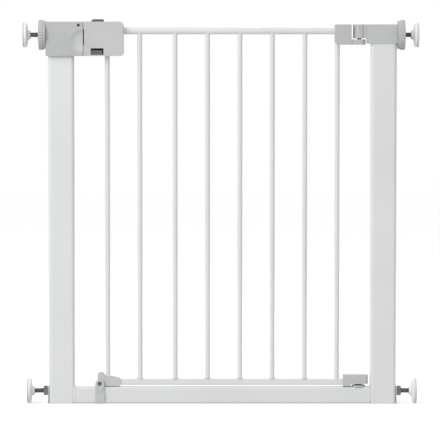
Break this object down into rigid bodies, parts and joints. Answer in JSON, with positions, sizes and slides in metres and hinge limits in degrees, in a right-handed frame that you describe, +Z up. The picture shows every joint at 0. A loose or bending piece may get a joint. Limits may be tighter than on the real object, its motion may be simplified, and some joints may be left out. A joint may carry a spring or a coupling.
{
  "type": "safety baby gate",
  "caption": "Pressure-mounted safety gate: a barred door on pin hinges in a low-threshold tube frame, with a double-lock squeeze handle, a stop clip and threaded wall pads.",
  "frame": {"origin": "on the floor, under the middle of the frame's bottom rail", "axes": "+X across the doorway towards the hinge side, +Y away from the side seen from the front, +Z up"},
  "size_m": [0.788, 0.0596, 0.768],
  "materials": {
    "white_paint": "semi-gloss white powder coat",
    "catch_plastic": "satin light grey moulding",
    "handle_plastic": "satin light grey moulding, slightly cooler than the catch",
    "hinge_plastic": "satin warm grey moulding",
    "clip_plastic": "satin light grey moulding",
    "cap_plastic": "satin off-white moulding",
    "wheel_plastic": "satin grey moulding",
    "button_plastic": "satin dark grey moulding",
    "dark_plastic": "matt near-black moulding",
    "steel": "dark zinc-plated steel",
    "spring_steel": "bright spring steel",
    "foot_plastic": "white moulding, slight sheen",
    "pad_rubber": "pale grey matt rubber"
  },
  "bodies": {
    "frame": {"left_upright": "white_paint", "right_upright": "white_paint", "foot_plug_left": "dark_plastic", "foot_plug_right": "dark_plastic", "bottom_rail": "white_paint", "lower_guide_left": "clip_plastic", "lower_guide_right": "clip_plastic", "catch_front_shell": "catch_plastic", "catch_rear_shell": "catch_plastic", "strike_insert": "steel", "catch_screws": "steel", "catch_pin": "dark_plastic", "upper_hinge_bracket": "hinge_plastic", "hinge_bracket_screws": "steel", "upper_hinge_pin": "steel", "lower_hinge_seat": "hinge_plastic", "lower_hinge_washer": "dark_plastic", "lower_hinge_pin": "steel", "stop_clip": "clip_plastic"},
    "door": {"top_rail": "white_paint", "door_bottom_rail": "white_paint", "bar_1": "white_paint", "bar_2": "white_paint", "bar_3": "white_paint", "bar_4": "white_paint", "bar_5": "white_paint", "bar_6": "white_paint", "bar_7": "white_paint", "bar_8": "white_paint", "handle_front_shell": "handle_plastic", "handle_rear_shell": "handle_plastic", "handle_screws": "steel", "bolt_guide": "dark_plastic", "upper_hinge_arm": "hinge_plastic", "lower_hinge_block": "hinge_plastic", "nose_cap": "cap_plastic", "nose_peg": "steel", "upper_spring": "spring_steel", "lower_spring": "spring_steel"},
    "top_button": {"top_button": "button_plastic"},
    "lower_button": {"lower_button": "button_plastic"},
    "upper_bolt": {"upper_bolt": "steel"},
    "lower_bolt": {"lower_bolt": "steel"},
    "wheel_left": {"handwheel_left": "wheel_plastic"},
    "wheel_right": {"handwheel_right": "wheel_plastic"},
    "nut_left": {"nut_left": "steel"},
    "nut_right": {"nut_right": "steel"},
    "wall_foot_upper_left": {"spindle_upper_left": "steel", "foot_upper_left": "foot_plastic", "pad_upper_left": "pad_rubber"},
    "wall_foot_upper_right": {"spindle_upper_right": "steel", "foot_upper_right": "foot_plastic", "pad_upper_right": "pad_rubber"},
    "wall_foot_lower_left": {"spindle_lower_left": "steel", "foot_lower_left": "foot_plastic", "pad_lower_left": "pad_rubber"},
    "wall_foot_lower_right": {"spindle_lower_right": "steel", "foot_lower_right": "foot_plastic", "pad_lower_right": "pad_rubber"}
  },
  "joints": [
    {"name": "door_swing", "type": "hinge", "parent": "frame", "child": "door", "pos_m": [0.273, 0, 0.0455], "axis": [0, 0, -1], "range_deg": [0, 90]},
    {"name": "top_button_press", "type": "slide", "parent": "door", "child": "top_button", "axis": [0, 0, -1], "range_m": [0, 0.0035], "stiffness_N_per_m": 600, "springref_m": -0.004, "deforming": ["upper_spring"]},
    {"name": "upper_bolt_draw", "type": "slide", "parent": "door", "child": "upper_bolt", "axis": [1, 0, 0], "range_m": [0, 0.00525]},
    {"name": "lower_button_press", "type": "slide", "parent": "door", "child": "lower_button", "axis": [0, 0, 1], "range_m": [0, 0.0035], "stiffness_N_per_m": 600, "springref_m": -0.004, "deforming": ["lower_spring"]},
    {"name": "lower_bolt_draw", "type": "slide", "parent": "door", "child": "lower_bolt", "axis": [1, 0, 0], "range_m": [0, 0.00525]},
    {"name": "foot_upper_left_reach", "type": "slide", "parent": "frame", "child": "wall_foot_upper_left", "axis": [-1, 0, 0], "range_m": [-0.012, 0.006]},
    {"name": "wheel_left_turn", "type": "hinge", "parent": "frame", "child": "wheel_left", "pos_m": [-0.3585, 0, 0.737], "axis": [1, 0, 0], "range_deg": [-2880.1, 1440.1]},
    {"name": "foot_upper_right_reach", "type": "slide", "parent": "frame", "child": "wall_foot_upper_right", "axis": [1, 0, 0], "range_m": [-0.012, 0.006]},
    {"name": "wheel_right_turn", "type": "hinge", "parent": "frame", "child": "wheel_right", "pos_m": [0.3565, 0, 0.737], "axis": [-1, 0, 0], "range_deg": [-2880.1, 1440.1]},
    {"name": "foot_lower_left_reach", "type": "slide", "parent": "frame", "child": "wall_foot_lower_left", "axis": [-1, 0, 0], "range_m": [-0.012, 0.006]},
    {"name": "nut_left_turn", "type": "hinge", "parent": "frame", "child": "nut_left", "pos_m": [-0.3541, 0, 0.025], "axis": [1, 0, 0], "range_deg": [-2880.1, 1440.1]},
    {"name": "foot_lower_right_reach", "type": "slide", "parent": "frame", "child": "wall_foot_lower_right", "axis": [1, 0, 0], "range_m": [-0.012, 0.006]},
    {"name": "nut_right_turn", "type": "hinge", "parent": "frame", "child": "nut_right", "pos_m": [0.3541, 0, 0.025], "axis": [-1, 0, 0], "range_deg": [-2880.1, 1440.1]}
  ],
  "couplings": [
    {"joint": "upper_bolt_draw", "follows": "top_button_press", "ratio": 1.5},
    {"joint": "lower_bolt_draw", "follows": "lower_button_press", "ratio": 1.5},
    {"joint": "wheel_left_turn", "follows": "foot_upper_left_reach", "rad_per_m": 4188.8},
    {"joint": "wheel_right_turn", "follows": "foot_upper_right_reach", "rad_per_m": 4188.8},
    {"joint": "nut_left_turn", "follows": "foot_lower_left_reach", "rad_per_m": 4188.8},
    {"joint": "nut_right_turn", "follows": "foot_lower_right_reach", "rad_per_m": 4188.8}
  ]
}
